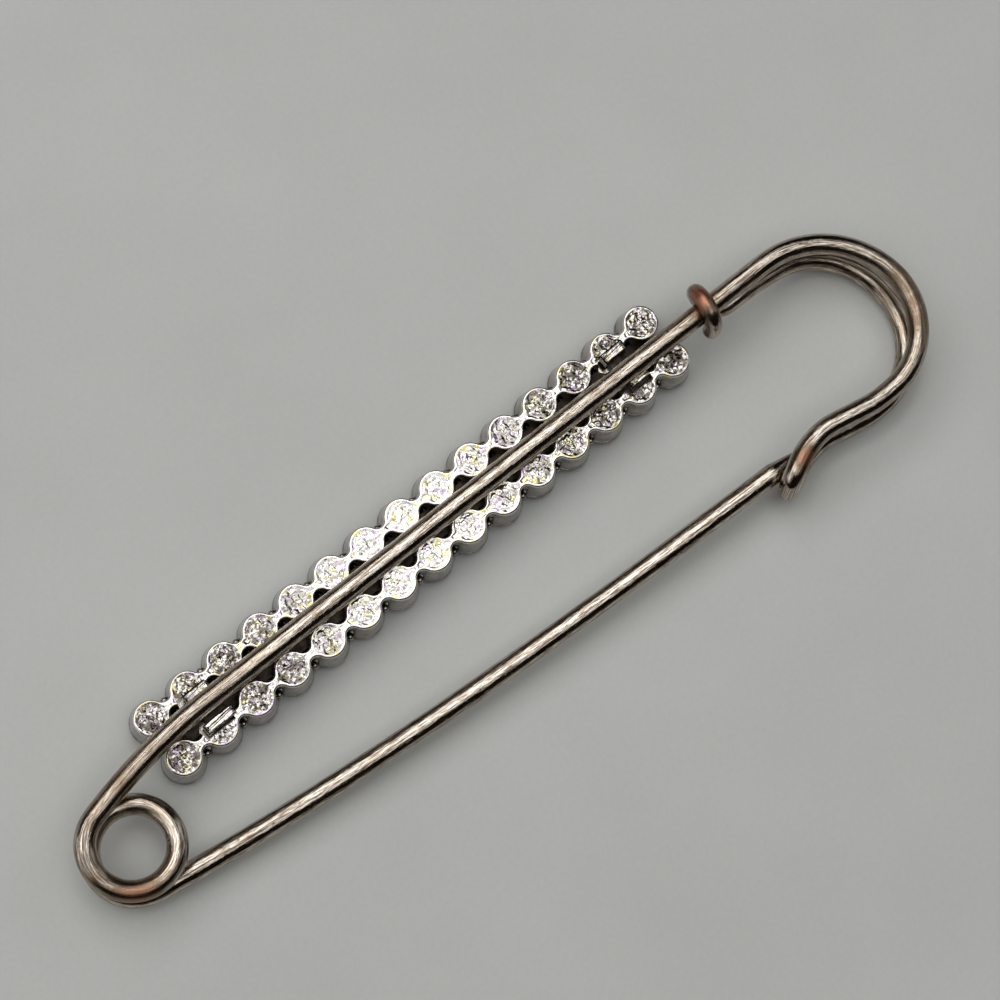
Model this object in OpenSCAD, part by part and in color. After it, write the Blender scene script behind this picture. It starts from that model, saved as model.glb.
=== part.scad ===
// Safety pin brooch: one bent wire with a spring coil, and a cast bar of two rows of stones.
// It lies on its front. The back of the bar and the spine wire face up.
// X runs from the coil to the head, Y from the pin arm to the spine, Z is up.

/* [Wire] */
// Diameter of the wire
wire_d = 1.65; // [1.5:0.05:1.7]
// Clearance that each piece keeps from its neighbour
gap = 0.06; // [0.04:0.01:0.1]
// Slant of the spine against the bar, in degrees
spine_slant = -0.95; // [-1.1:0.05:-0.6]
// Sides of the wire's cross section
wire_sides = 16; // [12:2:20]

/* [Spring coil] */
// Radius of the coil, to the middle of the wire
coil_r = 3.25; // [3:0.05:3.5]
// Height that the wire drops through the coil
coil_drop = 2.6; // [2.5:0.05:2.7]
// Sideways lean of the turns for each millimetre of drop
coil_lean = 0.175; // [0.15:0.005:0.18]
// Radius of the easy bend from the spine into the coil
spine_bend_r = 45; // [40:1:50]

/* [Pin arm] */
// Slant of the pin arm where it leaves the coil, in degrees
arm_slant = -10.5; // [-10.6:0.1:-10.4]
// Slant of the pin arm at its tip, which the load of the catch has bowed
tip_slant = -2.8; // [-2.9:0.1:-2.7]
// Length of the ground point
point_len = 4; // [3:0.5:5]
// Diameter at the tip of the point
tip_d = 0.25; // [0.2:0.05:0.4]

/* [Head] */
// Bend radius of the head next to the spine
head_r = 7.1; // [6.9:0.1:7.1]
// Bend radius of the head next to the catch
heel_r = 6.3; // [6.1:0.1:6.3]
// Bend radius of the lower strand in the head
return_r = 6.3; // [6.1:0.1:6.4]
// Diameter of the pinched wire that is wrapped round the spine
wrap_d = 1.4; // [1.3:0.05:1.5]
// Angle of the wrap round the spine, in degrees
wrap_angle = 318; // [290:2:320]

/* [Bar] */
// Cups in each row
cups = 15; // [15]
// Distance from cup to cup along a row
pitch = 3.4; // [3.4:0.05:3.5]
// Distance between the two rows
row_gap = 3.7; // [3.68:0.02:3.8]
// Radius of a cup at its flat back
back_r = 1.38; // [1.3:0.02:1.42]
// Radius of a cup at its front rim
rim_r = 1.72; // [1.7:0.02:1.76]
// Depth of a cup from its back to its rim
cup_h = 2.65; // [2.6:0.05:2.7]
// Width of the necks between the cups
neck_w = 0.72; // [0.6:0.02:0.9]
// Diameter of the small beads that hold the stones
bead_d = 0.62; // [0.5:0.02:0.66]

/* [Stones] */
// Diameter of a stone
stone_d = 2.9; // [2.8:0.02:2.92]
// Diameter of the flat table of a stone
table_d = 1.7; // [1.5:0.05:1.9]
// Height from the girdle to the table
crown_h = 0.7; // [0.65:0.05:0.75]
// Depth from the girdle to the point
pavilion_h = 1.15; // [0.9:0.05:1.2]

/* [Hidden] */
$fn = 48;

// Heights, measured from the flat back of the bar
wire_r = wire_d / 2;
wire_z = wire_r + gap;
strand_gap = 0.08;
strand_z = wire_z - 2 * (wire_d + strand_gap);
arm_hook_z = (wire_z + strand_z) / 2;
floor_z = strand_z - wire_r;
arm_coil_z = wire_z - coil_drop;

// Places of the coil and the spine, with the bar's middle at x = 0
coil_at = [-30.75, -4.35];
spine_at = [-12, 0.08];
head_x = 41.5;

function unit(v) = v / norm(v);
function along(a) = [cos(a), sin(a)];
function left_of(a) = [-sin(a), cos(a)];

// Height of the spine's line above the x axis
function spine_y(x) = spine_at.y + (x - spine_at.x) * tan(spine_slant);

// Middle of the coil where the wire has dropped by some height
function coil_middle(drop) = coil_at - [0, coil_lean * drop];

// A straight run joins the coil's circle by an easy arc of radius r_bend.
// It gives the arc's middle, its angles at the coil and at the straight run, and the run's start.
function easy_bend(middle, dist, slant, r_bend) =
    let (
        over = dist - coil_r,
        reach = sqrt(over * (2 * (r_bend - coil_r) - over)),
        start = middle + dist * left_of(slant) + reach * along(slant),
        centre = start - r_bend * left_of(slant),
        from_centre = middle - centre
    )
    [centre, atan2(from_centre.y, from_centre.x), slant + 90, start];

spine_dist = (spine_at - coil_at) * left_of(spine_slant);
spine_bend = easy_bend(coil_at, spine_dist, spine_slant, spine_bend_r);

// The coil runs from the spine's bend round to the start of the pin arm, one and a half turns
coil_from = spine_bend[1];
coil_to = arm_slant - 90 + 720;
coil_ease = 60;
coil_step = 10;

// Part of the drop that is done after turn degrees, with a soft start and a soft end
function eased(turn, total) =
    let (slope = 1 / (total - coil_ease))
    turn < coil_ease ? slope * turn * turn / (2 * coil_ease)
    : turn > total - coil_ease ? 1 - slope * pow(total - turn, 2) / (2 * coil_ease)
    : slope * (turn - coil_ease / 2);

function coil_point(turn) =
    let (
        drop = coil_drop * eased(turn, coil_to - coil_from),
        flat = coil_middle(drop) + coil_r * along(coil_from + turn)
    )
    [flat.x, flat.y, wire_z - drop];

// Points of an arc from angle a to angle b at height z
function arc(centre, r, a, b, z, steps) =
    [for (i = [0:steps]) let (p = centre + r * along(a + (b - a) * i / steps)) [p.x, p.y, z]];

// Points that round the corner at b, between a and c, with bend radius r
corner_step = 10;
function corner(a, b, c, r) =
    let (
        to_a = unit(a - b),
        to_c = unit(c - b),
        half = acos(max(-1, min(1, to_a * to_c))) / 2,
        middle = b + unit(to_a + to_c) * r / sin(half),
        first = unit(b + to_a * r / tan(half) - middle),
        last = unit(b + to_c * r / tan(half) - middle),
        turn = 180 - 2 * half,
        steps = max(1, ceil(turn / corner_step))
    )
    [for (i = [0:steps])
        middle + r * (sin(turn * (1 - i / steps)) * first + sin(turn * i / steps) * last) / sin(turn)];

// A bend table has rows of x, y, z and bend radius. The first and last rows are plain ends.
function place(row) = [row[0], row[1], row[2]];
function bent(table) = concat(
    [place(table[0])],
    [for (i = [1:len(table) - 2])
        each corner(place(table[i - 1]), place(table[i]), place(table[i + 1]), table[i][3])],
    [place(table[len(table) - 1])]);

// The catch: both strands run over and under the pin arm and meet in an upright bend round it
catch_start = [25.4, -14.3];
catch_dir = [-0.9, -0.436];
catch_r = (wire_z - strand_z) / 2;
catch_step = 15;
sway_y = -14.3;
// The lower strand lies a little outside the upper one
lower_shift = [0.25, -0.35];

sway_x = 33.6;
hump = [28.9, -13.3];
dip = [26.8, -13.65];
upper_bends = [
    // x, y, z, bend radius
    [spine_bend[3].x, spine_bend[3].y, wire_z, 0],
    [head_x, spine_y(head_x), wire_z, head_r],
    [head_x, sway_y, wire_z, heel_r],
    [sway_x, sway_y, wire_z, 8],
    [hump.x, hump.y, wire_z, 4],
    [dip.x, dip.y, wire_z, 4],
    [catch_start.x, catch_start.y, wire_z, 0],
];

catch_bend = [for (a = [catch_step:catch_step:180 - catch_step])
    let (p = catch_start + catch_r * sin(a) * catch_dir + (1 - cos(a)) / 2 * lower_shift)
    [p.x, p.y, arm_hook_z + catch_r * cos(a)]];

// The wrap winds round the spine and ends on its lower side
wrap_r = wire_r + gap + wrap_d / 2;
wrap_x = 29.5;
wrap_from = -115;
wrap_lead = 1.1;
wrap_lead_angle = 70;
wrap_pitch = 1.3;
wrap_step = 12;

function wrap_point(turn) =
    let (
        lead = 1 - pow(1 - min(1, turn / wrap_lead_angle), 3),
        x = wrap_x - wrap_lead * lead - wrap_pitch * turn / 360
    )
    [x, spine_y(x) + wrap_r * cos(wrap_from + turn), wire_z + wrap_r * sin(wrap_from + turn)];

wrap_points = [for (turn = [0:wrap_step:wrap_angle]) wrap_point(turn)];
wrap_start = wrap_point(0);
keeper_strand_x = 31.6;
return_x = 40.8;
return_rise = 0.25;

low_sway_y = sway_y + lower_shift.y;
lower_bends = [
    // x, y, z, bend radius
    [catch_start.x + lower_shift.x, catch_start.y + lower_shift.y, strand_z, 0],
    [dip.x + lower_shift.x, dip.y + lower_shift.y, strand_z, 4],
    [hump.x + lower_shift.x, hump.y + lower_shift.y, strand_z, 4],
    [sway_x, low_sway_y, strand_z, 8],
    [return_x, low_sway_y, strand_z, return_r],
    [return_x, -1.4, strand_z + return_rise, return_r],
    [keeper_strand_x, wrap_start.y, wrap_start.z, 12],
    [wrap_start.x + gap, wrap_start.y, wrap_start.z, 0],
];

spine_start = arc(spine_bend[0], spine_bend_r, spine_bend[1], spine_bend[2], wire_z, 4);
catch_path = concat(spine_start, bent(upper_bends), catch_bend, bent(lower_bends));

// The path without points that repeat the one before
least_step = 0.02;
function thinned(p) = [for (i = [0:len(p) - 1]) if (i == 0 || norm(p[i] - p[i - 1]) > least_step) p[i]];

frame_path = thinned(concat(catch_path, wrap_points));
wrap_count = len(wrap_points);

// The wire is pinched thin from a few points before the wrap
pinch_lead = 4;
pinch_count = wrap_count + pinch_lead;
frame_radii = [for (i = [0:len(frame_path) - 1])
    i < len(frame_path) - pinch_count ? wire_r : wrap_d / 2];

// Direction of a path at one of its points
function heading(p, i) = unit(p[min(i + 1, len(p) - 1)] - p[max(i - 1, 0)]);

// The part of n that is square to t
function squared(n, t) = unit(n - (n * t) * t);

// A side direction for each point, carried along the path without twist
function sides_of(p) =
    [for (i = 0, n = squared([0, 0, 1], heading(p, 0)); i < len(p);
        i = i + 1, n = i < len(p) ? squared(n, heading(p, i)) : n) n];

// A round wire swept along a path, with a radius for each point
module wire(p, radii) {
    n = sides_of(p);
    count = wire_sides;
    last = (len(p) - 1) * count;
    points = [for (i = [0:len(p) - 1])
        let (b = cross(heading(p, i), n[i]))
        for (k = [0:count - 1])
            p[i] + radii[i] * (cos(360 * k / count) * n[i] + sin(360 * k / count) * b)];
    skin = [for (i = [0:len(p) - 2])
        for (k = [0:count - 1])
            let (
                a = i * count + k,
                b = i * count + (k + 1) % count
            )
            each [[a, a + count, b + count], [a, b + count, b]]];
    start_cap = [for (k = [0:count - 1]) k];
    end_cap = [for (k = [0:count - 1]) last + count - 1 - k];
    polyhedron(points, concat(skin, [start_cap, end_cap]));
}

// The frame stands with its lowest point at z = 0 and its middle over the origin
x_low = coil_at.x - coil_r - wire_r;
x_high = head_x + wire_r;
y_high = row_gap / 2 + rim_r;
y_low = (catch_start + lower_shift / 2 + catch_r * catch_dir).y - wire_r;
to_origin = [-(x_low + x_high) / 2, -(y_low + y_high) / 2, -floor_z];

module frame_wire() {
    color("silver") translate(to_origin) wire(frame_path, frame_radii);
}

module spring_coil() {
    total = coil_to - coil_from;
    // Each end stops short of the wire that it meets
    end_cut = gap / coil_r * 90 / PI;
    steps = ceil(total / coil_step);
    path = [for (i = [0:steps]) coil_point(end_cut + (total - 2 * end_cut) * i / steps)];
    color("silver") translate(to_origin) wire(path, [for (p = path) wire_r]);
}

// The pin arm leaves the coil and bows like a loaded spring. It rises to the catch.
arm_start = coil_point(coil_to - coil_from);
arm_len = 59.8;
arm_steps = 26;
arm_step = (arm_len - gap) / arm_steps;
arm_rise = arm_hook_z - arm_coil_z;

// Direction of the arm at a distance s along it
function arm_heading(s) = tip_slant - (tip_slant - arm_slant) * pow(1 - s / arm_len, 2);
arm_line = [for (i = 0, s = gap, p = [arm_start.x, arm_start.y] + gap * along(arm_slant);
    i <= arm_steps;
    i = i + 1, p = p + arm_step * along(arm_heading(s)), s = s + arm_step)
    [p.x, p.y, arm_coil_z + arm_rise * s / arm_len, s]];

module pin_arm() {
    radii = [for (p = arm_line)
        let (ground = max(0, p[3] - arm_len + point_len) / point_len)
        wire_r - (wire_r - tip_d / 2) * ground];
    color("silver") translate(to_origin) wire([for (p = arm_line) place(p)], radii);
}

// The cast bar. Cup i of a row stands at cup_x(i), and side is 1 or -1 for the row.
function cup_x(i) = (i - (cups - 1) / 2) * pitch;
row_y = row_gap / 2;
edge = 0.1;
girdle_t = 0.1;
stone_z = floor_z + crown_h + girdle_t;
seat_r = stone_d / 2 + gap;
seat_tip_r = 0.12;
saddle_cups = [1, cups - 2];

// Outer form of one cup, with a small bevel round its back
module cup_body() {
    rotate_extrude()
        polygon([[0, 0], [back_r - edge, 0], [back_r, -edge], [rim_r, -cup_h], [0, -cup_h]]);
}

// Hollow under a stone, which it clears by the gap all over
module seat() {
    deep = stone_z + pavilion_h + gap;
    rotate_extrude()
        polygon([
            [0, -cup_h - 1], [seat_r, -cup_h - 1], [seat_r, stone_z + gap],
            [seat_tip_r, deep], [0, deep],
        ]);
}

// One bead stands beside the rims of two neighbouring cups
bead_from = 1.9;
bead_tip = 0.42;
bead_round = 0.2;
module bead() {
    rotate_extrude($fn = 24)
        polygon([
            [0, -bead_from], [bead_d / 2, -bead_from], [bead_d / 2, -cup_h - bead_tip + bead_round],
            [bead_d / 4, -cup_h - bead_tip], [0, -cup_h - bead_tip],
        ]);
}

bead_y = 0.68;
neck_h = 1.5;
web_top = -1.3;
web_h = 0.5;
web_inset = 0.6;

module row(side) {
    for (i = [0:cups - 1])
        translate([cup_x(i), side * row_y, 0]) cup_body();
    translate([cup_x(0), side * row_y - neck_w / 2, -neck_h])
        cube([(cups - 1) * pitch, neck_w, neck_h]);
    for (i = [0:cups - 2])
        for (y = [-bead_y, bead_y])
            translate([cup_x(i) + pitch / 2, side * row_y + y, 0]) bead();
}

// Two ears stand beside the spine on a block that joins the rows
ear_in = 1.3;
ear_t = 0.42;
ear_h = 0.32;
ear_len = 2.1;
slot_w = 0.3;
slot_h = 0.8;

module saddle(x) {
    translate([x - ear_len / 2, -row_y, web_top - web_h / 2])
        cube([ear_len, 2 * row_y, -web_top + web_h / 2 - edge]);
    for (side = [-1, 1])
        translate([x - ear_len / 2, side > 0 ? ear_in : -ear_in - ear_t, -slot_h])
            cube([ear_len, ear_t, slot_h + ear_h]);
}

module saddle_slots(x) {
    for (side = [-1, 1])
        translate([x - back_r, side > 0 ? ear_in + ear_t : -ear_in - ear_t - slot_w, -slot_h])
            cube([2 * back_r, slot_w, slot_h + 1]);
    translate([x - back_r, -ear_in, -edge])
        cube([2 * back_r, 2 * ear_in, 1]);
}

module setting() {
    color("gainsboro")
    translate(to_origin)
    difference() {
        union() {
            row(1);
            row(-1);
            translate([cup_x(0), web_inset - row_y, web_top - web_h])
                cube([(cups - 1) * pitch, 2 * (row_y - web_inset), web_h]);
            for (i = saddle_cups) saddle(cup_x(i));
        }
        for (i = saddle_cups) saddle_slots(cup_x(i));
        for (i = [0:cups - 1])
            for (side = [-1, 1])
                translate([cup_x(i), side * row_y, 0]) seat();
    }
}

// One cut stone: a table, 8 facets round it, 16 at the girdle and 8 below. Its table faces down.
facets = 8;
module stone() {
    table_ring = [for (k = [0:facets - 1])
        let (a = 360 * k / facets)
        [table_d / 2 * cos(a), table_d / 2 * sin(a), -crown_h - girdle_t]];
    low_girdle = [for (k = [0:2 * facets - 1])
        let (a = 180 * k / facets)
        [stone_d / 2 * cos(a), stone_d / 2 * sin(a), -girdle_t]];
    top_girdle = [for (p = low_girdle) [p.x, p.y, 0]];
    low = facets;
    top = 3 * facets;
    point = 5 * facets;
    crown = [for (k = [0:facets - 1])
        let (
            next = (k + 1) % facets,
            here = low + 2 * k,
            mid = low + 2 * k + 1,
            over = low + (2 * k + 2) % (2 * facets)
        )
        each [[k, next, mid], [k, mid, here], [next, over, mid]]];
    band = [for (k = [0:2 * facets - 1])
        let (next = (k + 1) % (2 * facets))
        [low + k, low + next, top + next, top + k]];
    pavilion = [for (k = [0:2 * facets - 1])
        [top + k, top + (k + 1) % (2 * facets), point]];
    table = [for (k = [0:facets - 1]) facets - 1 - k];
    polyhedron(
        concat(table_ring, low_girdle, top_girdle, [[0, 0, pavilion_h]]),
        concat([table], crown, band, pavilion));
}

module stone_at(i, side) {
    translate(to_origin)
    translate([cup_x(i), side * row_y, stone_z])
        color("aliceblue") stone();
}

function stone_name(i, side) = str(side > 0 ? "stone_upper_" : "stone_lower_", i < 9 ? "0" : "", i + 1);

frame_wire();
spring_coil();
pin_arm();
setting();
for (side = [1, -1])
    for (i = [0:cups - 1])
        stone_at(i, side);
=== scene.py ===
"""Safety pin brooch, lying on its front: worn plated wire, a cast bar of cups and cut stones."""
import math

import bmesh
import bpy
import numpy as np
from mathutils import Matrix, Vector
from mathutils.noise import noise as perlin


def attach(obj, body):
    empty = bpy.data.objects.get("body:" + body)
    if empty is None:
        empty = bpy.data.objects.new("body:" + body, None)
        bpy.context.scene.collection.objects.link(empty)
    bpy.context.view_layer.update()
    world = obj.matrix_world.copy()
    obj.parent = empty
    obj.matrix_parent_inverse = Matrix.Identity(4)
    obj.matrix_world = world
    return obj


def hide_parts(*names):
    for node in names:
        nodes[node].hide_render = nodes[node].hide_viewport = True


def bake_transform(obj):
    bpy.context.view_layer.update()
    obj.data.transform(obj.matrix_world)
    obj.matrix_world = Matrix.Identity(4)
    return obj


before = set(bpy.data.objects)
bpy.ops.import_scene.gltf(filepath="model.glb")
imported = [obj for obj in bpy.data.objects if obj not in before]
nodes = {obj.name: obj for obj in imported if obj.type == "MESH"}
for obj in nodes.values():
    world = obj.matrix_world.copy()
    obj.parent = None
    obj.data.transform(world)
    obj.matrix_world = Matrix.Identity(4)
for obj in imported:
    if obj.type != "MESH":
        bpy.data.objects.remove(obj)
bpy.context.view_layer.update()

# All lengths are in mm from the middle of the bar's back, and this moves them to the row frame
TO_FRAME = np.array([-3.75, 6.2421, 3.4])
MM = 0.001

# The bent wire
WIRE_R = 0.825
WRAP_WIRE_R = 0.67
GAP = 0.06                           # between wires that lie on each other
WIRE_Z = WIRE_R + GAP
STRAND_Z = WIRE_Z - 2 * (2 * WIRE_R + 0.08)
HOOK_Z = (WIRE_Z + STRAND_Z) / 2
COIL_AT = np.array([-30.75, -4.35])
COIL_R = 3.25
COIL_DROP = 2.6                      # from the coil's upper end to its lower end
COIL_LEAN = 0.175                    # how far the coil moves toward -Y for each mm of that drop
COIL_EASE = 60.0                     # degrees of turn over which the drop sets in and ends
COIL_STEPS = 240
SPINE_AT = np.array([-12.0, 0.08])
SPINE_SLANT = -0.95                  # degrees
SPINE_BEND_R = 45.0
SPINE_BEND_STEPS = 12
ARM_SLANT = -10.5                    # degrees, where the arm leaves the coil
TIP_SLANT = -2.8                     # degrees, at its point
ARM_LEN = 59.8
ARM_STEPS = 240
POINT_LEN = 4.0
TIP_R = 0.125
HEAD_X = 41.5
HEAD_R = 7.6
HEEL_R = 6.3
SWAY, SWAY_R = (33.6, -14.3), 8      # the wavy catch, from the head to its fold
HUMP, DIP = (28.9, -13.3), (26.8, -13.65)
WAVE_R = 4
CATCH_START = np.array([25.65, -14.18])
CATCH_DIR = np.array([-0.9, -0.436])
CATCH_R = (WIRE_Z - STRAND_Z) / 2
CATCH_STEP_DEG = 5
LOWER = np.array([0.25, -0.35])      # how far the lower strand lies to the side of the upper one
RETURN_X, RETURN_Y = 41.0, -1.75     # the lower strand's way round the head
RETURN_R = 6.3
RETURN_HEAD_R = 6.6
RETURN_LIFT = 0.25
RISE_X, RISE_R = 31.6, 12            # where it rises to the wrap
WRAP_X = 29.6
WRAP_LEAD, WRAP_LEAD_DEG = 0.7, 70   # the wrap's first step along the spine
WRAP_PITCH = 1.75
WRAP_FROM = -115
WRAP_ANGLE = 318
WRAP_STEP_DEG = 4
WRAP_R = WIRE_R + GAP + WRAP_WIRE_R
WRAP_LEN = 13.0                      # length of the thinner wire
TAPER_LEAD, TAPER_LEN = 5, 8         # the taper begins this far before it
CUT_ROUND = 0.12                     # rounding of the wire's cut end
STEP_DEG = 2.5                       # between the points of a bend
LINE_STEP = 0.25                     # between the points of the smoothed line
SMOOTHINGS = 6
WIRE_SIDES = 40
COIL_RUN, ARM_RUN = 200, 300         # where the grain of these wires starts, so that none repeats

# Where the plating has rubbed through to the copper: x, y, z, reach and strength
RUBBED = [
    (27.6, 0.3, 2.6, 2.0, 1.1),      # top of the wrap
    (26.3, -14.2, 1.6, 1.5, 0.9),    # end of the catch
    (-34.6, -5.0, 1.0, 2.2, 0.3),    # outside of the coil
    (-33.4, -7.4, 1.2, 2.2, 0.6),    # lower edge of the coil
    (-31.4, -8.2, 1.2, 2.0, 0.5),
    (-28.5, -0.2, 1.4, 6.0, 0.42),   # spine beside the coil
    (-18.0, 0.9, 1.4, 6.0, 0.34),
    (41.4, -5.5, 1.4, 5.0, 0.4),     # round head
    (40.2, -11.4, 1.2, 4.2, 0.55),   # heel of the head
    (24.0, -0.5, 1.4, 3.0, 0.2),     # spine before the wrap
]

# The cast bar
CUPS = 15
PITCH = 3.4
ROW_Y = 1.85
BACK_R = 1.38                        # radius of a cup at the back
RIM_R = 1.72                         # and at the front
CUP_H = 2.65
NECK = 0.36                          # half the width of a neck at the back
NECK_FRONT = 0.45                    # and at the front
EDGE = 0.17                          # rounding of the back edge
RIM_EDGE = 0.04                      # bevel of the front edge
LINE_DEPTH = 0.05                    # the fine line round the wall near the front
DISH = 0.035                         # hollow of the backs
SEAT_R = 1.51                        # the hollow under a stone
SEAT_EDGE = 0.03
SEAT_TOP = -2.54
SEAT_TIP = -1.39
ARC_STEPS, FILLET_STEPS, MIDLINE_STEPS = 22, 5, 4
RINGS = 24
SHARP_DEG = 55
ROW_WELD, DETAIL_WELD = 0.002, 0.0005
EAR_H = 0.4
EAR_BASE = 0.9
EAR_CORNER_R = 0.3
EAR_STEPS, EAR_STEPS_ACROSS = 36, 16
CUT_HALF = 1.32                      # the slots beside the ears
CUT_H = 1.25
CUT_TOP = 1
WEB_Z = (-1.8, -1.3)                 # the web between the rows, painted dark as shade
WEB_HALF = 1.25
BLOCK_Z = (-1.55, -0.6)              # the blocks under the ears, painted dark as shade
BLOCK_FROM = 0.55
BLOCK_EDGE = 0.05
BEAD_Y = 0.68
BEAD_SIDES = 20
# radius and height of a bead's outline
BEAD = [(0, -1.95), (0.1, -1.97), (0.19, -2.04), (0.25, -2.14), (0.28, -2.26), (0.28, -2.8),
        (0.26, -2.93), (0.19, -3.03), (0.09, -3.07), (0, -3.07)]
# end of the bar, side, shift along the row, inner face, thickness, length, width of the slot behind it
EARS = [
    (0, 1, 0.35, 0.98, 0.60, 2.1, 0.13),
    (0, -1, 0.35, 0.98, 0.80, 2.6, 0.26),
    (1, 1, 0.2, 1.0, 0.74, 2.0, 0.12),
    (1, -1, 0.4, 1.1, 0.54, 1.8, 0.36),
]

# The picture, in metres and degrees
FLOOR_HALF = 2.0
HEIGHT = 0.6
# level lamps overhead: name, the angles that they fill from the vertical toward +Y, length, radiance, x
STRIPS = [
    ("lamp_left", 12, 50, 0.8, 2.0, -0.05),
    ("lamp_between", -5, 12, 0.75, 0.8, 0.0),
    ("lamp_right", -30, -5, 0.65, 1.3, 0.0),
]
# other lamps: name, middle, the point that it shines at, size, radiance, color
PANELS = [
    # the small bright one that the backs of the middle cups mirror
    ("lamp_glare", (0.111, 0.07, 0.59), (0.111, 0.07, 0), (0.12, 0.075), 5.0, (1, 1, 1)),
    # faint light from the walls of the room
    ("lamp_wall", (-0.75, 0.55, 0.45), (0, 0, 0), (0.9, 0.5), 0.6, (1, 1, 1)),
    ("lamp_far_wall", (0.1, 0.95, 0.3), (0, 0, 0), (0.9, 0.5), 0.1, (1.0, 0.75, 0.58)),
    # soft light from both ends of the brooch, which its turned wires mirror
    ("lamp_coil_end", (-0.85, 0.25, 0.5), (0, 0, 0), (0.7, 0.7), 0.75, (1, 1, 1)),
    ("lamp_head_end", (0.8, -0.2, 0.5), (0, 0, 0), (0.7, 0.7), 0.45, (1, 1, 1)),
]
ROOM_COLOR = (0.05, 0.038, 0.03, 1)
ROOM_STRENGTH = 0.25
SENSOR_MM, LENS_MM = 36.0, 104.29
CAMERA_AT = (-0.043861, -0.016083, 0.213948)
CAMERA_TURN = (12.2001, -6.0161, -40.4205)
CLIP_START = 0.01


# Paths of the wire

def along(a):
    return np.array([math.cos(math.radians(a)), math.sin(math.radians(a))])


def left_of(a):
    return np.array([-math.sin(math.radians(a)), math.cos(math.radians(a))])


def unit(v):
    return v / np.linalg.norm(v)


def run_along(p):
    """Length of the line p up to each of its points."""
    return np.concatenate([[0], np.cumsum(np.linalg.norm(np.diff(p, axis=0), axis=1))])


def spine_y(x):
    return SPINE_AT[1] + (x - SPINE_AT[0]) * math.tan(math.radians(SPINE_SLANT))


def easy_bend():
    """The arc between coil and straight spine: its middle, its two angles and the spine's start."""
    dist = (SPINE_AT - COIL_AT) @ left_of(SPINE_SLANT)
    over = dist - COIL_R
    reach = math.sqrt(over * (2 * (SPINE_BEND_R - COIL_R) - over))
    start = COIL_AT + dist * left_of(SPINE_SLANT) + reach * along(SPINE_SLANT)
    centre = start - SPINE_BEND_R * left_of(SPINE_SLANT)
    back = COIL_AT - centre
    return centre, math.degrees(math.atan2(back[1], back[0])), SPINE_SLANT + 90, start


BEND_AT, BEND_FROM, BEND_TO, SPINE_START = easy_bend()
COIL_TURN = ARM_SLANT - 90 + 720 - BEND_FROM


def coil_point(turn):
    slope = 1 / (COIL_TURN - COIL_EASE)
    if turn < COIL_EASE:
        done = slope * turn * turn / (2 * COIL_EASE)
    elif turn > COIL_TURN - COIL_EASE:
        done = 1 - slope * (COIL_TURN - turn) ** 2 / (2 * COIL_EASE)
    else:
        done = slope * (turn - COIL_EASE / 2)
    drop = COIL_DROP * done
    flat = COIL_AT - np.array([0, COIL_LEAN * drop]) + COIL_R * along(BEND_FROM + turn)
    return np.array([flat[0], flat[1], WIRE_Z - drop])


def corner(a, b, c, r):
    """Points that round the corner at b, between a and c, with bend radius r."""
    to_a, to_c = unit(a - b), unit(c - b)
    half = math.acos(max(-1.0, min(1.0, float(to_a @ to_c)))) / 2
    middle = b + unit(to_a + to_c) * r / math.sin(half)
    first = unit(b + to_a * r / math.tan(half) - middle)
    last = unit(b + to_c * r / math.tan(half) - middle)
    turn = math.pi - 2 * half
    steps = max(3, math.ceil(math.degrees(turn) / STEP_DEG))
    out = []
    for i in range(steps + 1):
        u = i / steps
        blend = math.sin(turn * (1 - u)) * first + math.sin(turn * u) * last
        out.append(middle + r * blend / math.sin(turn))
    return out


def bent(rows):
    """Points along a bend table with rows of x, y, z and bend radius."""
    rows = [np.array(r, float) for r in rows]
    out = [rows[0][:3]]
    for a, b, c in zip(rows, rows[1:], rows[2:]):
        out += corner(a[:3], b[:3], c[:3], b[3])
    return out + [rows[-1][:3]]


def wrap_point(turn):
    lead = 1 - (1 - min(1.0, turn / WRAP_LEAD_DEG)) ** 3
    x = WRAP_X - WRAP_LEAD * lead - WRAP_PITCH * turn / 360
    a = math.radians(WRAP_FROM + turn)
    return np.array([x, spine_y(x) + WRAP_R * math.cos(a), WIRE_Z + WRAP_R * math.sin(a)])


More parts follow.
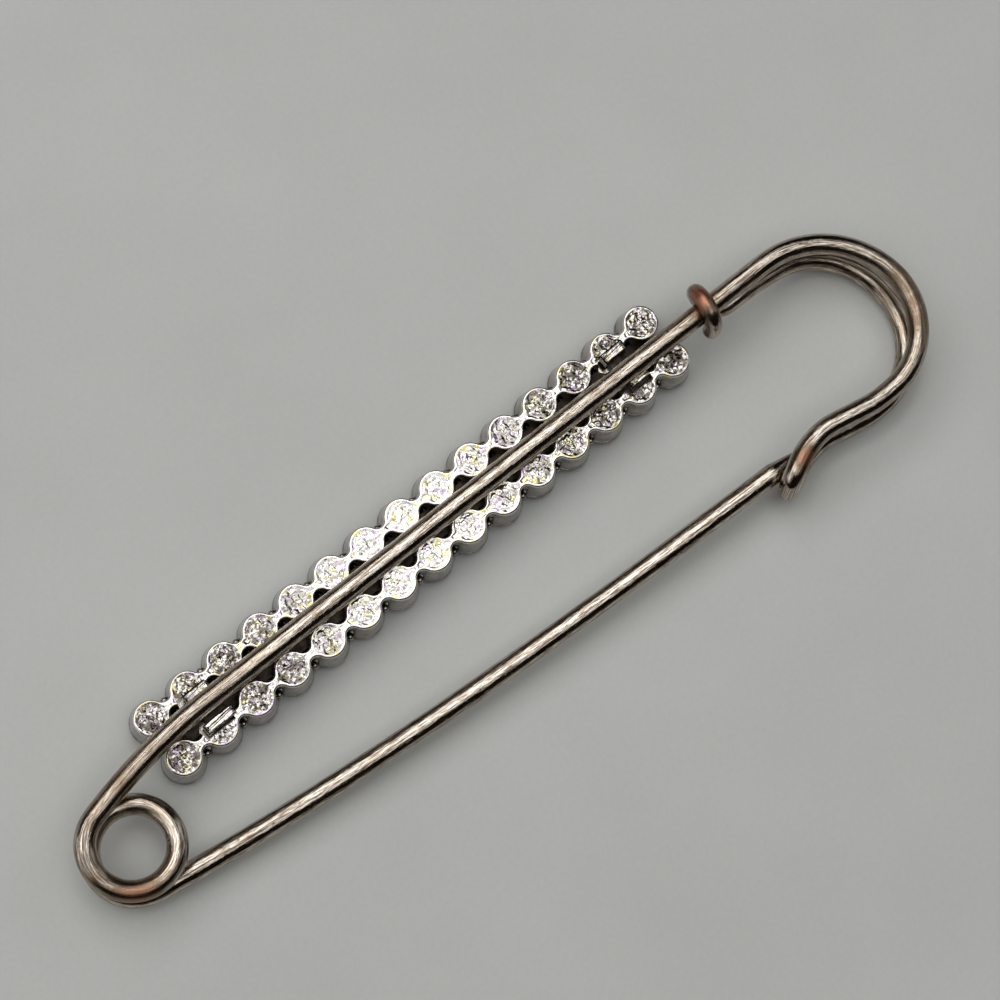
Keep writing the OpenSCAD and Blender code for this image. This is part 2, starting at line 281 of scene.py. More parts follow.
def frame_path():
    """From the coil along the spine, round the head, through the catch and back to the wrap."""
    out = []
    for i in range(SPINE_BEND_STEPS + 1):
        a = BEND_FROM + (BEND_TO - BEND_FROM) * i / SPINE_BEND_STEPS
        p = BEND_AT + SPINE_BEND_R * along(a)
        out.append(np.array([p[0], p[1], WIRE_Z]))
    out += bent([
        (SPINE_START[0], SPINE_START[1], WIRE_Z, 0),
        (HEAD_X, spine_y(HEAD_X), WIRE_Z, HEAD_R),
        (HEAD_X, SWAY[1], WIRE_Z, HEEL_R),
        (SWAY[0], SWAY[1], WIRE_Z, SWAY_R),
        (HUMP[0], HUMP[1], WIRE_Z, WAVE_R),
        (DIP[0], DIP[1], WIRE_Z, WAVE_R),
        (CATCH_START[0], CATCH_START[1], WIRE_Z, 0),
    ])
    for a in range(CATCH_STEP_DEG, 180, CATCH_STEP_DEG):
        c, s = math.cos(math.radians(a)), math.sin(math.radians(a))
        p = CATCH_START + CATCH_R * s * CATCH_DIR + (1 - c) / 2 * LOWER
        out.append(np.array([p[0], p[1], HOOK_Z + CATCH_R * c]))
    start = wrap_point(0)
    low_y = SWAY[1] + LOWER[1]
    out += bent([
        (CATCH_START[0] + LOWER[0], CATCH_START[1] + LOWER[1], STRAND_Z, 0),
        (DIP[0] + LOWER[0], DIP[1] + LOWER[1], STRAND_Z, WAVE_R),
        (HUMP[0] + LOWER[0], HUMP[1] + LOWER[1], STRAND_Z, WAVE_R),
        (SWAY[0], low_y, STRAND_Z, SWAY_R),
        (RETURN_X, low_y, STRAND_Z, RETURN_R),
        (RETURN_X, RETURN_Y, STRAND_Z + RETURN_LIFT, RETURN_HEAD_R),
        (RISE_X, start[1], start[2], RISE_R),
        (start[0] + GAP, start[1], start[2], 0),
    ])
    return out + [wrap_point(t) for t in np.arange(0, WRAP_ANGLE + 0.1, WRAP_STEP_DEG)]


def resampled(points):
    """The same line with evenly spaced points, smoothed so that arcs and straights run together."""
    p = np.array(points)
    keep = np.concatenate([[True], np.linalg.norm(np.diff(p, axis=0), axis=1) > 1e-4])
    p = p[keep]
    s = run_along(p)
    n = int(s[-1] / LINE_STEP) + 1
    u = np.linspace(0, s[-1], n + 1)
    q = np.stack([np.interp(u, s, p[:, k]) for k in range(3)], axis=1)
    for _ in range(SMOOTHINGS):
        q[1:-1] = (q[:-2] + 2 * q[1:-1] + q[2:]) / 4
    return q


def arm_path():
    """From the coil's lower end to the point in the catch, slightly bowed all along."""
    start = coil_point(COIL_TURN)
    low_z = WIRE_Z - COIL_DROP
    p, out = start[:2].copy(), [start]
    for i in range(1, ARM_STEPS + 1):
        s = ARM_LEN * (i - 0.5) / ARM_STEPS
        slant = TIP_SLANT - (TIP_SLANT - ARM_SLANT) * (1 - s / ARM_LEN) ** 2
        p = p + ARM_LEN / ARM_STEPS * along(slant)
        out.append(np.array([p[0], p[1], low_z + (HOOK_Z - low_z) * i / ARM_STEPS]))
    return np.array(out)


# Meshes

def placed(name, data):
    """A new object in the scene with that data."""
    obj = bpy.data.objects.new(name, data)
    bpy.context.scene.collection.objects.link(obj)
    return obj


def mesh_object(name, verts, faces):
    mesh = bpy.data.meshes.new(name)
    mesh.from_pydata([tuple(v) for v in (np.asarray(verts) + TO_FRAME) * MM], [], faces)
    mesh.validate()
    for poly in mesh.polygons:
        poly.use_smooth = True
    return placed(name, mesh)


def rubbed_at(points):
    total = np.zeros(len(points))
    for x, y, z, reach, strength in RUBBED:
        total += strength * np.exp(-1.5 * ((points - (x, y, z)) ** 2).sum(axis=1) / reach ** 2)
    return np.clip(total, 0, 1)


def swept(name, p, radii, run_from):
    """A round wire along p. Its points know their run along it and how far it is rubbed there."""
    sides = WIRE_SIDES
    t = np.gradient(p, axis=0, edge_order=2)
    t /= np.linalg.norm(t, axis=1)[:, None]
    run = run_from + run_along(p)
    n = np.array([0.0, 0.0, 1.0])
    ring = [math.tau * k / sides for k in range(sides)]
    verts, faces, grain = [], [], []
    for i in range(len(p)):
        n = unit(n - (n @ t[i]) * t[i])
        b = np.cross(t[i], n)
        verts += [p[i] + radii[i] * (math.cos(a) * n + math.sin(a) * b) for a in ring]
        grain += [(run[i], math.cos(a), math.sin(a)) for a in ring]
    for i in range(len(p) - 1):
        for k in range(sides):
            a, b = i * sides + k, i * sides + (k + 1) % sides
            faces.append((a, a + sides, b + sides, b))
    for row, order in ((0, 1), (len(p) - 1, -1)):
        first = len(verts)
        verts += verts[row * sides:(row + 1) * sides]
        grain += grain[row * sides:(row + 1) * sides]
        faces.append(tuple(range(first, first + sides))[::order])
    obj = mesh_object(name, verts, faces)
    field = obj.data.attributes.new("grain", "FLOAT_VECTOR", "POINT")
    field.data.foreach_set("vector", np.array(grain, dtype=np.float32).ravel())
    field = obj.data.attributes.new("rubbed", "FLOAT", "POINT")
    field.data.foreach_set("value", rubbed_at(np.array(verts)).astype(np.float32))
    return obj


def rounded_end(radii, p):
    """Takes the sharp corner off the last end of a wire."""
    left = run_along(p[::-1])[::-1]
    cut = np.clip(1 - left / CUT_ROUND, 0, 1)
    return radii - CUT_ROUND * (1 - np.sqrt(1 - cut ** 2))


# Materials

# stops of the color ramps: place and color
PLATE = [(0.36, (0.72, 0.67, 0.595)), (0.48, (0.53, 0.475, 0.405)), (0.62, (0.22, 0.17, 0.13))]
UNDER_PLATE = [(0.25, (0.39, 0.30, 0.21)), (0.55, (0.215, 0.16, 0.11)), (0.95, (0.42, 0.185, 0.115))]
BACK_TINTS = [(0.33, (0.80, 0.70, 0.36)), (0.43, (0.78, 0.75, 0.68)),
              (0.57, (0.76, 0.735, 0.70)), (0.67, (0.68, 0.56, 0.66))]
# the walls' dull tarnish, darkened further as painted shade
WALL_TARNISH_AND_SHADE_TINTS = [(0.35, (0.27, 0.24, 0.21)), (0.6, (0.46, 0.43, 0.40))]
# near-black painted shade for the bar's hollows
RECESS_SHADE_TINTS = [(0.35, (0.016, 0.013, 0.011)), (0.72, (0.075, 0.06, 0.048))]
CRYSTAL_TINTS = [(0.35, (0.93, 0.95, 0.98)), (0.7, (0.98, 0.98, 0.97))]
TABLE_TINTS = [(0.35, (0.537, 0.543, 0.522)), (0.65, (0.585, 0.591, 0.570))]
THREAD_COLOR = (0.13, 0.085, 0.06, 1)
SPECK_COLOR = (0.10, 0.07, 0.055, 1)
# the dark of the veins and grit, and of the painted darker reflection at the ends and the painted shade
# at the walls' foot
GRIME_AND_SHADE_COLOR = (0.06, 0.045, 0.036, 1)
# where the casting changes its look, each from nothing to full
BUMPS_R = (1.27, 1.15)               # distance from the middle of a cup
BACK_Z = (-0.28, -0.2)               # height above the bar's back
OFF_EAR_Z = (0.14, 0.08)
FOOT_SHADE_Z = (1.7, 0.5)                  # height above the floor, over which the walls' painted shade fades out
DARK_ENDS_X = (4.0, 15.0)                 # distance from the middle of the bar, over which the backs' painted darker reflection sets in


def material(name):
    mat = bpy.data.materials.new(name)
    mat.use_nodes = True
    tree = mat.node_tree
    return mat, tree, tree.nodes["Principled BSDF"]


def feed(tree, n, inputs):
    """Gives a node's inputs their links or values."""
    for key, value in inputs.items():
        if isinstance(value, bpy.types.NodeSocket):
            tree.links.new(value, n.inputs[key])
        else:
            n.inputs[key].default_value = value


def node(tree, kind, inputs=(), **props):
    n = tree.nodes.new(kind)
    for key, value in props.items():
        setattr(n, key, value)
    feed(tree, n, dict(inputs))
    return n


def object_coords(tree):
    return node(tree, "ShaderNodeTexCoord").outputs["Object"]


def noise(tree, coords, scale, detail, rough):
    inputs = {"Vector": coords, "Scale": scale, "Detail": detail, "Roughness": rough}
    return node(tree, "ShaderNodeTexNoise", inputs).outputs["Fac"]


def ramp(tree, value, stops):
    n = node(tree, "ShaderNodeValToRGB", {"Fac": value})
    elements = n.color_ramp.elements
    while len(elements) < len(stops):
        elements.new(0.5)
    for e, (place, color) in zip(elements, stops):
        e.position = place
        e.color = (*color, 1)
    return n.outputs["Color"]


def grey_ramp(tree, value, stops):
    return ramp(tree, value, [(place, (v, v, v)) for place, v in stops])


def math_node(tree, operation, *values):
    return node(tree, "ShaderNodeMath", dict(enumerate(values)), operation=operation).outputs[0]


def faded(tree, value, zero, one):
    """0 where value is zero, 1 where it is one, and a straight slope between them."""
    inputs = {"Value": value, "From Min": zero, "From Max": one}
    return node(tree, "ShaderNodeMapRange", inputs).outputs["Result"]


def mixed(tree, factor, a, b):
    """Color a where factor is 0, and color b where it is 1."""
    inputs = {"Factor": factor, "A": a, "B": b}
    return node(tree, "ShaderNodeMix", inputs, data_type="RGBA").outputs["Result"]


def bump(tree, height, strength, distance, **under):
    """Normals with a relief of that depth in metres, over the ones passed as Normal."""
    inputs = {"Height": height, "Strength": strength, "Distance": distance, **under}
    return node(tree, "ShaderNodeBump", inputs).outputs["Normal"]


def wire_material():
    """Worn plating with fine lines along the wire, coppery brown where it has rubbed through."""
    mat, tree, bsdf = material("worn_plated_wire")
    coords = object_coords(tree)
    grain = node(tree, "ShaderNodeAttribute", attribute_name="grain").outputs["Vector"]
    rubbed = node(tree, "ShaderNodeAttribute", attribute_name="rubbed").outputs["Fac"]

    def stretched(lengthwise, around, detail):
        scales = {0: grain, 1: (lengthwise, around, around)}
        v = node(tree, "ShaderNodeVectorMath", scales, operation="MULTIPLY").outputs[0]
        return noise(tree, v, 1.0, detail, 0.62)

    bands = stretched(0.3, 2.6, 3)
    lines = stretched(1.0, 10.0, 4)
    scratches = stretched(0.09, 4.2, 2)
    patches = noise(tree, coords, 420, 5, 0.65)
    specks = noise(tree, coords, 3600, 3, 0.6)

    uneven = math_node(tree, "SUBTRACT", patches, 0.5)
    spread = math_node(tree, "MULTIPLY_ADD", uneven, 1.6, rubbed)
    bare = grey_ramp(tree, spread, [(0.14, 0), (0.6, 1)])
    thread = grey_ramp(tree, scratches, [(0.455, 0), (0.478, 0.95), (0.5, 0.95), (0.523, 0)])
    spots = grey_ramp(tree, specks, [(0.62, 0), (0.72, 0.85)])
    color = mixed(tree, bare, ramp(tree, lines, PLATE), ramp(tree, rubbed, UNDER_PLATE))
    color = mixed(tree, thread, color, THREAD_COLOR)
    color = mixed(tree, spots, color, SPECK_COLOR)

    worn = math_node(tree, "MULTIPLY_ADD", rubbed, 0.3, 0.03)
    low = bump(tree, bands, 0.35, 0.00004)
    feed(tree, bsdf, {
        "Base Color": color,
        "Metallic": 1.0,
        "Roughness": math_node(tree, "MULTIPLY_ADD", bands, 0.1, worn),
        "Normal": bump(tree, lines, 0.7, 0.00002, Normal=low),
    })
    return mat


def casting_material():
    """Bright casting: dark veins, spots and tints in the cups' rough backs, painted darker reflection
    toward the bar's ends, and duller walls, darkened further as painted shade and most at their foot.
    """
    mat, tree, bsdf = material("bright_cast_metal")
    coords = object_coords(tree)
    xyz = node(tree, "ShaderNodeSeparateXYZ", {0: coords}).outputs

    def calc(operation, *values):
        return math_node(tree, operation, *values)

    def from_back(z):
        return faded(tree, xyz["Z"], *((TO_FRAME[2] + end) * MM for end in z))

    pitches = calc("MULTIPLY_ADD", xyz["X"], 1 / (PITCH * MM), 0.5 - TO_FRAME[0] / PITCH)
    dx = calc("MULTIPLY", calc("SUBTRACT", calc("FRACT", pitches), 0.5), PITCH)
    across = calc("ABSOLUTE", calc("MULTIPLY_ADD", xyz["Y"], 1 / MM, -TO_FRAME[1]))
    dy = calc("SUBTRACT", across, ROW_Y)
    squares = calc("ADD", calc("MULTIPLY", dx, dx), calc("MULTIPLY", dy, dy))
    inside = faded(tree, calc("SQRT", squares), *BUMPS_R)
    back = from_back(BACK_Z)
    off_ear = from_back(OFF_EAR_Z)
    rough_back = calc("MULTIPLY", calc("MULTIPLY", inside, back), off_ear)
    shade_near_floor = faded(tree, xyz["Z"], *(z * MM for z in FOOT_SHADE_Z))
    from_middle = calc("ABSOLUTE", calc("MULTIPLY_ADD", xyz["X"], 1 / MM, -TO_FRAME[0]))
    # painted darker reflection: the backs darken toward the bar's ends
    painted_dark_ends = faded(tree, from_middle, *DARK_ENDS_X)

    cloud = noise(tree, coords, 900, 4, 0.6)
    grains = noise(tree, coords, 3600, 3, 0.62)
    web = noise(tree, coords, 2300, 3, 0.6)
    tints = noise(tree, coords, 1700, 2, 0.5)
    dark_reflection_noise = noise(tree, coords, 1250, 2, 0.5)

    # painted darker reflection: the dark marks are denser toward the ends of the bar; the ears have
    # veins alone, and the walls veins and painted shade at their foot
    # painted darker reflection in patches, strongest toward the ends
    painted_dark_reflection = grey_ramp(tree, dark_reflection_noise, [(0.40, 0.92), (0.50, 0.06)])
    painted_dark_reflection_at_ends = calc("MULTIPLY", calc("MULTIPLY_ADD", painted_dark_ends, 0.8, 0.2), painted_dark_reflection)
    grit = grey_ramp(tree, grains, [(0.44, 0.95), (0.5, 0.55), (0.53, 0)])
    veins = grey_ramp(tree, web, [(0.475, 0), (0.495, 0.75), (0.505, 0.75), (0.525, 0)])
    marks_and_dark_reflection = calc("MAXIMUM", calc("MAXIMUM", calc("MULTIPLY", grit, painted_dark_ends), veins), painted_dark_reflection_at_ends)
    # painted shade: mottled darkening at the foot of the walls, near the floor
    painted_foot_shade = calc("MULTIPLY", grey_ramp(tree, cloud, [(0.46, 1), (0.54, 0.1)]), shade_near_floor)
    veins_and_foot_shade = calc("MAXIMUM", veins, painted_foot_shade)
    on_wall = calc("MULTIPLY", veins_and_foot_shade, calc("MULTIPLY_ADD", back, -0.75, 0.75))
    on_ear = calc("MULTIPLY", veins, calc("MULTIPLY_ADD", off_ear, -0.8, 0.8))
    dark = calc("MAXIMUM", calc("MULTIPLY", marks_and_dark_reflection, rough_back), calc("MAXIMUM", on_wall, on_ear))

    color = mixed(tree, back, ramp(tree, cloud, WALL_TARNISH_AND_SHADE_TINTS), ramp(tree, tints, BACK_TINTS))
    feed(tree, bsdf, {
        "Base Color": mixed(tree, dark, color, GRIME_AND_SHADE_COLOR),
        "Metallic": 1.0,
        "Roughness": grey_ramp(tree, cloud, [(0.35, 0.09), (0.7, 0.18)]),
        "Normal": bump(tree, grains, 0.3, 0.00002),
    })
    return mat


def recess_shade_material():
    """Painted shade: unpolished, near-black metal at the bottom of the bar's hollows, dark as the shade
    there.
    """
    mat, tree, bsdf = material("painted_shade_recess")
    cloud = noise(tree, object_coords(tree), 1400, 4, 0.6)
    feed(tree, bsdf, {
        "Base Color": ramp(tree, cloud, RECESS_SHADE_TINTS),
        "Metallic": 1.0,
        "Roughness": 0.42,
        "Normal": bump(tree, cloud, 0.6, 0.0001),
    })
    return mat


def stone_material():
    mat, tree, bsdf = material("cut_crystal")
    cloud = noise(tree, object_coords(tree), 900, 3, 0.5)
    feed(tree, bsdf, {
        "Base Color": ramp(tree, cloud, CRYSTAL_TINTS),
        "Roughness": 0.02,
        "IOR": 1.54,
        "Transmission Weight": 0.85,
    })
    return mat


def floor_material():
    mat, tree, bsdf = material("pale_table")
    coords = object_coords(tree)
    cloud = noise(tree, coords, 40, 4, 0.6)
    grain = noise(tree, coords, 2600, 2, 0.6)
    wide = math_node(tree, "MULTIPLY", cloud, 0.65)
    mottled = math_node(tree, "MULTIPLY_ADD", grain, 0.35, wide)
    feed(tree, bsdf, {
        "Base Color": ramp(tree, mottled, TABLE_TINTS),
        "Roughness": 0.75,
        "Specular IOR Level": 0.2,
    })
    return mat


WIRE = wire_material()
CASTING = casting_material()
RECESS_SHADE = recess_shade_material()
STONE = stone_material()


def painted(obj, mat):
    obj.data.materials.clear()
    obj.data.materials.append(mat)
    return obj


# The bent wire

line = resampled(frame_path())
run = run_along(line)
pinched = np.clip((run - (run[-1] - WRAP_LEN) + TAPER_LEAD) / TAPER_LEN, 0, 1)
thick = WIRE_R - (WIRE_R - WRAP_WIRE_R) * pinched * pinched * (3 - 2 * pinched)
frame_piece = swept("frame_wire_drawn", line, rounded_end(thick, line), 0)
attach(painted(frame_piece, WIRE), "frame")
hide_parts("frame_wire")

coil_line = np.array([coil_point(COIL_TURN * i / COIL_STEPS) for i in range(COIL_STEPS + 1)])
coil_piece = swept("spring_coil_drawn", coil_line, np.full(len(coil_line), WIRE_R), COIL_RUN)
painted(coil_piece, WIRE)
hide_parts("spring_coil")

arm_line = arm_path()
past_grind = np.linspace(0, ARM_LEN, len(arm_line)) - ARM_LEN + POINT_LEN
ground = np.clip(past_grind / POINT_LEN, 0, 1)
arm_piece = swept("pin_arm_drawn", arm_line, WIRE_R - (WIRE_R - TIP_R) * ground, ARM_RUN)
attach(painted(arm_piece, WIRE), "pin")
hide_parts("pin_arm")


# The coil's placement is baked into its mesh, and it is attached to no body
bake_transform(coil_piece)


# The cast bar: two rows of cups joined by necks, with a rough back on every cup

def cup_x(i):
    return (i - (CUPS - 1) / 2) * PITCH


def quarter(r, w, steps):
    """From the top of a cup of radius r to the middle of its right neck of half width w."""
    f = (PITCH * PITCH / 4 + w * w - r * r) / (2 * (r - w))
    touch = math.acos(PITCH / 2 / (r + f))
    arc = np.linspace(math.pi / 2, touch, steps + 1)
    fillet = np.linspace(touch + math.pi, 1.5 * math.pi, FILLET_STEPS + 1)[1:]
    out = [(r * math.cos(a), r * math.sin(a)) for a in arc]
    out += [(PITCH / 2 + f * math.cos(a), w + f + f * math.sin(a)) for a in fillet]
    out += [(PITCH / 2, w * (1 - k / MIDLINE_STEPS * 2)) for k in range(1, MIDLINE_STEPS // 2 + 1)]
    return out


def cup_loop(r, w, left_open, right_open):
    """Outline of a cup's share of the row, counter-clockwise from the top. Open sides have a neck."""
    joined_side = quarter(r, w, ARC_STEPS // 2)
    arc = np.linspace(math.pi / 2, 0, len(joined_side))
    plain = [(r * math.cos(a), r * math.sin(a)) for a in arc]
    right = joined_side if right_open else plain
    left = joined_side if left_open else plain
    upper_left = [(-x, y) for x, y in left]
    lower_left = [(-x, -y) for x, y in left[::-1]]
    lower_right = [(x, -y) for x, y in right]
    upper_right = right[::-1]
    return np.array(upper_left[:-1] + lower_left[:-1] + lower_right[:-1] + upper_right[:-1])


def seam_edges(left_open, right_open):
    """For each edge of a loop, whether it lies on the line where two cups meet."""
    n = ARC_STEPS // 2 + FILLET_STEPS + MIDLINE_STEPS // 2
    flags = [False] * (4 * n)
    for k in range(MIDLINE_STEPS // 2):
        for open_side, at in ((left_open, n - 1 - k), (left_open, n + k),
                              (right_open, 3 * n - 1 - k), (right_open, 3 * n + k)):
            flags[at] = open_side
    return flags


def soft(u):
    """A smooth step from 0 to 1."""
    u = np.clip(u, 0, 1)
    return u * u * (3 - 2 * u)


def noise_at(x, y, size, seed):
    return perlin(Vector((x / size, y / size, seed)))


def crumple(x, y):
    """Height of the rough cast back at a point: lumps, creases and pits, calmer toward the middle."""
    lumps = noise_at(x, y, 0.42, 3.1) + 0.6 * noise_at(x, y, 0.2, 8.7)
    crease = max(0.0, 1 - abs(noise_at(x, y, 0.5, 21.3)) / 0.09)
    pit = max(0.0, noise_at(x, y, 0.8, 40.5) - 0.25)
    calm = math.exp(-(x / 9) ** 2)
    return (0.085 - 0.055 * calm) * lumps - 0.03 * crease - 0.07 * pit * (1 - 0.6 * calm)


def wall_row(inset, u):
    """A line round the wall, at u of the way from the back edge to the front edge."""
    return inset, -EDGE - (CUP_H - EDGE - RIM_EDGE) * u, u


# inset, height and progress from back to front: the rounded edge, the wall and the front edge
WALL = [(EDGE * (1 - math.sin(a)), -EDGE * (1 - math.cos(a)), 0.0)
        for a in np.linspace(0, math.pi / 2, 6)]
WALL += [wall_row(0.0, u) for u in (0.15, 0.3, 0.45, 0.6, 0.72, 0.79)]
WALL += [wall_row(LINE_DEPTH, u) for u in (0.81, 0.84)]
WALL += [wall_row(0.0, u) for u in (0.86, 0.93, 1.0)]
WALL += [(RIM_EDGE, -CUP_H, 1.0)]
LIFTED_ROWS = 4                      # over this many of its lines the wall takes up the back's bumps


def cup_row(side):
    """A row of cups as one closed skin: rough backs, walls, front rims and hollows for the stones."""
    verts, faces = [], []

    def ring(points):
        first = len(verts)
        verts.extend(points)
        return first

    def bridge(a, b, n, skip=None):
        for k in range(n):
            if skip and skip[k]:
                continue
            j = (k + 1) % n
            faces.append((a + k, b + k, b + j, a + j))

    for i in range(CUPS):
        left_open, right_open = i > 0, i < CUPS - 1
        at = np.array([cup_x(i), side * ROW_Y])
        seam = seam_edges(left_open, right_open)
        rim = cup_loop(BACK_R - EDGE, NECK - EDGE, left_open, right_open)
        n = len(rim)
        reach = np.linalg.norm(rim, axis=1)
        on_neck = reach > BACK_R - EDGE + 0.02
        # the bumps set in from the rim, and the necks keep a quarter of theirs right at the edge
        inner = None
        for t in np.linspace(1, 0, RINGS + 1)[:-1]:
            inward = (1 - t) * reach
            rough = np.where(on_neck, 0.25 + 0.75 * soft(inward / 0.3), soft((inward - 0.03) / 0.2))
            dish = np.where(on_neck, soft(inward / 0.5), soft(inward / 0.22))
            p = at + t * rim
            z = [crumple(x, y) for x, y in p] * rough - DISH * dish
            now = ring([(x, y, h) for (x, y), h in zip(p, z)])
            if inner is None:
                edge_ring, edge_z = now, z
            else:
                bridge(now, inner, n)
            inner = now
        middle = ring([(at[0], at[1], crumple(*at) - DISH)])
        faces.extend((inner + k, inner + (k + 1) % n, middle) for k in range(n))
        above = edge_ring
        for step, (inset, z, u) in enumerate(WALL[1:], 1):
            r = BACK_R + (RIM_R - BACK_R) * u
            w = NECK + (NECK_FRONT - NECK) * u
            p = at + cup_loop(r - inset, w - inset, left_open, right_open)
            lift = edge_z * (1 - soft(step / LIFTED_ROWS))
            below = ring([(x, y, z + h) for (x, y), h in zip(p, lift)])
            bridge(above, below, n, seam)
            above = below
        turn = np.arctan2(p[:, 1] - at[1], p[:, 0] - at[0])
        seat = ((SEAT_R + SEAT_EDGE, -CUP_H), (SEAT_R, -CUP_H + SEAT_EDGE), (SEAT_R, SEAT_TOP))
        for r, z in seat:
            below = ring([(at[0] + r * math.cos(a), at[1] + r * math.sin(a), z) for a in turn])
            bridge(above, below, n)
            above = below
        tip = ring([(at[0], at[1], SEAT_TIP)])
        faces.extend((above + k, tip, above + (k + 1) % n) for k in range(n))
    return verts, faces


def box_mesh(x0, x1, y0, y1, z0, z1):
    verts = [(x, y, z) for x in (x0, x1) for y in (y0, y1) for z in (z0, z1)]
    return verts, [(0, 1, 3, 2), (4, 6, 7, 5), (0, 4, 5, 1), (2, 3, 7, 6), (0, 2, 6, 4), (1, 5, 7, 3)]


def merged(parts):
    verts, faces = [], []
    for v, f in parts:
        base = len(verts)
        verts += list(v)
        faces += [tuple(base + k for k in face) for face in f]
    return verts, faces


def welded(obj, distance):
    bm = bmesh.new()
    bm.from_mesh(obj.data)
    bmesh.ops.remove_doubles(bm, verts=bm.verts, dist=distance * MM)
    bmesh.ops.dissolve_degenerate(bm, edges=bm.edges, dist=distance * MM)
    bmesh.ops.recalc_face_normals(bm, faces=bm.faces)
    bm.to_mesh(obj.data)
    bm.free()
    return obj


def bevelled(obj, width):
    bm = bmesh.new()
    bm.from_mesh(obj.data)
    bmesh.ops.bevel(bm, geom=list(bm.edges), offset=width * MM, segments=3, profile=0.5,
                    affect="EDGES")
    bmesh.ops.recalc_face_normals(bm, faces=bm.faces)
    bm.to_mesh(obj.data)
    bm.free()
    return obj


def cut(obj, cutter):
    """Takes the cutter away from obj for good."""
    mod = obj.modifiers.new("cut", "BOOLEAN")
    mod.operation = "DIFFERENCE"
    mod.solver = "EXACT"
    mod.object = cutter
    bpy.context.view_layer.update()
    graph = bpy.context.evaluated_depsgraph_get()
    done = bpy.data.meshes.new_from_object(obj.evaluated_get(graph))
    obj.modifiers.clear()
    obj.data = done
    bpy.data.objects.remove(cutter)
    return obj


def bead(x, y):
    """The outline BEAD turned about an upright axis at x, y."""
    sides = BEAD_SIDES
    ring = [math.tau * k / sides for k in range(sides)]
    verts = [(x, y, BEAD[0][1])]
    for r, z in BEAD[1:-1]:
        verts += [(x + r * math.cos(a), y + r * math.sin(a), z) for a in ring]
    verts.append((x, y, BEAD[-1][1]))
    faces = []
    last = len(verts) - 1
    rows = len(BEAD) - 2
    for k in range(sides):
        j = (k + 1) % sides
        faces.append((0, 1 + k, 1 + j))
        faces.append((last, 1 + (rows - 1) * sides + j, 1 + (rows - 1) * sides + k))
        for i in range(rows - 1):
            a, b = 1 + i * sides, 1 + (i + 1) * sides
            faces.append((a + k, b + k, b + j, a + j))
    return verts, faces


def ear(x, side, inner, thick, length):
    """An ear beside the spine, with a groove along its top."""
    steps, across = EAR_STEPS, EAR_STEPS_ACROSS
    verts, faces = [], []
    y0 = inner if side > 0 else -inner - thick
    for i in range(steps + 1):
        u = i / steps - 0.5
        px = x + length * u
        over = max(0.0, (abs(u) * length - length / 2 + EAR_CORNER_R) / EAR_CORNER_R)
        end = math.sqrt(max(0.0, 1 - over ** 2))
        for k in range(across + 1):
            v = k / across
            side_round = math.sqrt(max(0.0, 1 - max(0.0, (abs(v - 0.5) - 0.3) / 0.2) ** 2))
            groove = 0.1 * math.exp(-((v - 0.55 - 0.25 * u) / 0.1) ** 2)
            ridge = 0.035 * noise_at(px * 0.3, y0 + v * thick, 0.12, 5.0)
            ridge += 0.05 * noise_at(px, v, 0.35, 9.0)
            top = EAR_H - 0.16 * (1 - side_round) - EAR_CORNER_R * (1 - end)
            verts.append((px, y0 + v * thick, top - 0.03 - groove + min(0.03, ridge)))
    row = across + 1
    base = len(verts)
    verts += [(v[0], v[1], -EAR_BASE) for v in verts]
    for i in range(steps):
        for k in range(across):
            a = i * row + k
            faces.append((a, a + row, a + row + 1, a + 1))
            faces.append((base + a, base + a + 1, base + a + row + 1, base + a + row))
    edges = [(k, k + 1) for k in range(across)]
    edges += [(i * row + across, (i + 1) * row + across) for i in range(steps)]
    edges += [(steps * row + k + 1, steps * row + k) for k in range(across)]
    edges += [((i + 1) * row, i * row) for i in range(steps)]
    faces += [(a, b, base + b, base + a) for a, b in edges]
    return verts, faces


SADDLE_X = (cup_x(1), cup_x(CUPS - 2))

row_pieces = []
for side in (1, -1):
    row_obj = welded(mesh_object("row", *cup_row(side)), ROW_WELD)
    slots = []
    for saddle, ear_side, _, inner, thick, _, slot in EARS:
        if ear_side == side:
            x = SADDLE_X[saddle]
            y0, y1 = sorted((0, side * (inner + thick + slot)))
            slots.append(box_mesh(x - CUT_HALF, x + CUT_HALF, y0, y1, -CUT_H, CUT_TOP))
    row_pieces.append(cut(row_obj, mesh_object("cutter", *merged(slots))))
    row_pieces[-1].data.set_sharp_from_angle(angle=math.radians(SHARP_DEG))

details = [ear(SADDLE_X[k] + shift, side, inner, thick, length)
           for k, side, shift, inner, thick, length, _ in EARS]
details += [bead(cup_x(i) + PITCH / 2, side * ROW_Y + y)
            for side in (1, -1) for i in range(CUPS - 1) for y in (-BEAD_Y, BEAD_Y)]
row_pieces.append(welded(mesh_object("details", *merged(details)), DETAIL_WELD))

blocks = [box_mesh(cup_x(0), cup_x(CUPS - 1), -WEB_HALF, WEB_HALF, *WEB_Z)]
blocks += [box_mesh(x - BLOCK_FROM, x + CUT_HALF, -ROW_Y, ROW_Y, *BLOCK_Z) for x in SADDLE_X]
web_piece = bevelled(mesh_object("web", *merged(blocks)), BLOCK_EDGE)
row_pieces.append(web_piece)

for piece in row_pieces:
    piece.data.materials.clear()
    piece.data.materials.append(CASTING)
    piece.data.materials.append(RECESS_SHADE)
    for poly in piece.data.polygons:
        # the web and blocks take the painted shade of the hollows
        poly.material_index = 1 if piece == web_piece else 0
        poly.use_smooth = True


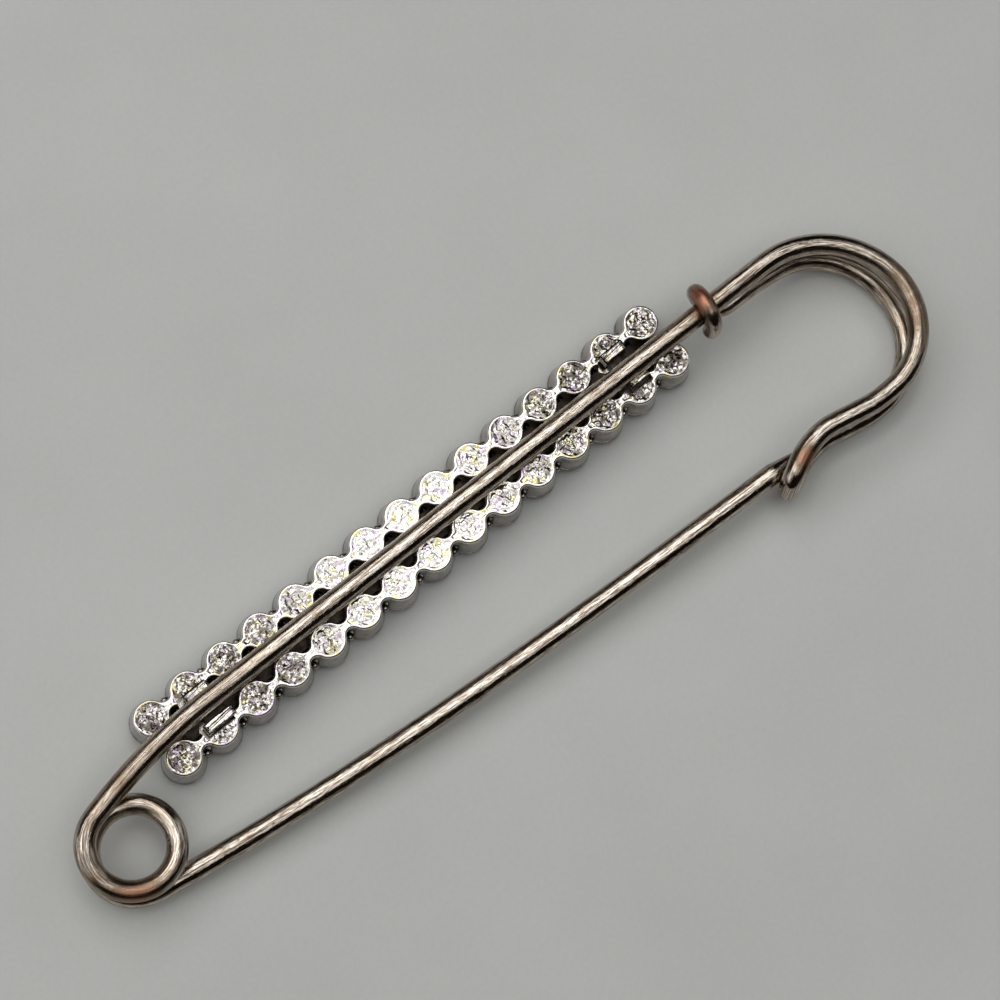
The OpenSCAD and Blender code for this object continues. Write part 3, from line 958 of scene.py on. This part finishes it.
def joined(name, objs):
    """One object from several, which keep their materials."""
    bm = bmesh.new()
    for o in objs:
        bm.from_mesh(o.data)
    mesh = bpy.data.meshes.new(name)
    bm.to_mesh(mesh)
    bm.free()
    for mat in objs[0].data.materials:
        mesh.materials.append(mat)
    for o in objs:
        bpy.data.objects.remove(o)
    return placed(name, mesh)


setting_piece = joined("setting_cast", row_pieces)
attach(setting_piece, "frame")
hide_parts("setting")
for name, obj in nodes.items():
    if name.startswith("stone"):
        painted(obj, STONE)


# Floor, light and camera

floor_mesh = bpy.data.meshes.new("floor")
corners = [(x * FLOOR_HALF, y * FLOOR_HALF, 0) for x, y in ((-1, -1), (1, -1), (1, 1), (-1, 1))]
floor_mesh.from_pydata(corners, [], [(0, 1, 2, 3)])
floor = placed("floor", floor_mesh)
floor.data.materials.append(floor_material())


def panel(name, middle, toward, size, radiance, color):
    """A soft rectangular lamp that shines from middle to toward. Its longer side lies along X."""
    data = bpy.data.lights.new(name, "AREA")
    data.shape = "RECTANGLE"
    data.size, data.size_y = size
    data.energy = radiance * size[0] * size[1] * math.pi
    data.color = color
    back = unit(np.array(middle, float) - np.array(toward, float))
    right = unit(np.cross(np.array([0, 1.0, 0]), back))
    up = np.cross(back, right)
    matrix = Matrix((right, up, back)).transposed().to_4x4()
    matrix.translation = Vector(middle)
    placed(name, data).matrix_world = matrix


for name, from_deg, to_deg, length, radiance, x in STRIPS:
    y0, y1 = (HEIGHT * math.tan(math.radians(a)) for a in (from_deg, to_deg))
    y = (y0 + y1) / 2
    panel(name, (x, y, HEIGHT), (x, y, 0), (length, y1 - y0), radiance, (1, 1, 1))
for row in PANELS:
    panel(*row)

world = bpy.data.worlds.new("room")
bpy.context.scene.world = world
world.use_nodes = True
room = world.node_tree.nodes["Background"].inputs
room["Color"].default_value = ROOM_COLOR
room["Strength"].default_value = ROOM_STRENGTH

camera_data = bpy.data.cameras.new("camera")
camera_data.sensor_width = SENSOR_MM
camera_data.lens = LENS_MM
camera_data.clip_start = CLIP_START
camera = placed("camera", camera_data)
camera.rotation_euler = [math.radians(a) for a in CAMERA_TURN]
camera.location = CAMERA_AT
bpy.context.scene.camera = camera

view = bpy.context.scene.view_settings
view.view_transform = "Standard"
view.look = "None"
